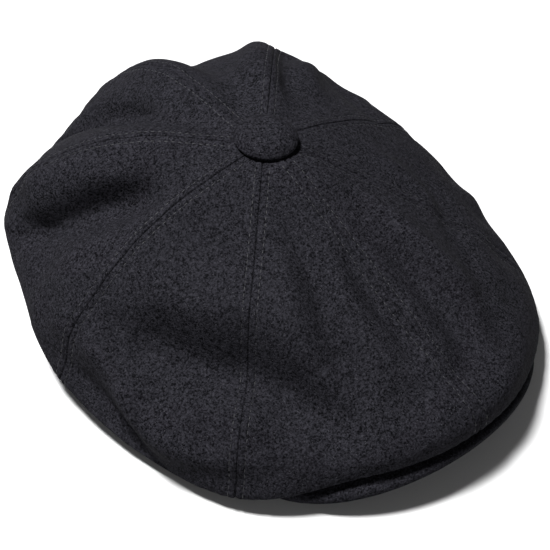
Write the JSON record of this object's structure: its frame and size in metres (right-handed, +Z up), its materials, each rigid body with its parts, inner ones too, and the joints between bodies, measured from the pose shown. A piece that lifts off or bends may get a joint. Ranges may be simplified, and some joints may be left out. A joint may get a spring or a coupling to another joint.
{
  "type": "newsboy cap",
  "caption": "Eight-panel newsboy cap in dark wool: full soft crown with topstitched seams and covered button, oval band and short arched visor hinged on its seam.",
  "frame": {"origin": "centre of the head opening's oval, at the height of the table that the cap lies on", "axes": "+Z up through the button, -Y forward over the visor, +X to the wearer's left"},
  "size_m": [0.2642, 0.3105, 0.1125],
  "materials": {
    "wool_melton": "dull brushed wool with a fine speckle",
    "lining_satin": "smooth satin lining",
    "sweatband_twill": "cotton twill tape",
    "buckram": "stiff open-weave buckram",
    "visor_plastic": "bare polyethylene sheet",
    "button_metal": "pressed sheet",
    "snap_metal": "blackened press stud"
  },
  "bodies": {
    "cap": {"crown_panel_front_left": "wool_melton", "crown_panel_front_right": "wool_melton", "crown_panel_side_front_left": "wool_melton", "crown_panel_side_front_right": "wool_melton", "crown_panel_side_back_left": "wool_melton", "crown_panel_side_back_right": "wool_melton", "crown_panel_back_left": "wool_melton", "crown_panel_back_right": "wool_melton", "outer_band": "wool_melton", "button_cover": "wool_melton", "visor_seam_strip": "wool_melton", "lining_panel_front_left": "lining_satin", "lining_panel_front_right": "lining_satin", "lining_panel_side_front_left": "lining_satin", "lining_panel_side_front_right": "lining_satin", "lining_panel_side_back_left": "lining_satin", "lining_panel_side_back_right": "lining_satin", "lining_panel_back_left": "lining_satin", "lining_panel_back_right": "lining_satin", "sweatband": "sweatband_twill", "band_stiffener": "buckram", "button_shell": "button_metal", "button_back": "button_metal", "button_shank": "button_metal", "button_washer": "button_metal", "snap_socket": "snap_metal"},
    "visor": {"visor_top_cover": "wool_melton", "visor_under_cover": "wool_melton", "visor_board": "visor_plastic", "snap_stud": "snap_metal"}
  },
  "joints": [
    {"name": "visor_hinge", "type": "hinge", "parent": "cap", "child": "visor", "pos_m": [0, -0.085, 0.021], "axis": [1, 0, 0], "range_deg": [0, 12], "stiffness_Nm_per_rad": 0.25, "springref_deg": -20.05, "deforming": ["visor_seam_strip"]}
  ]
}
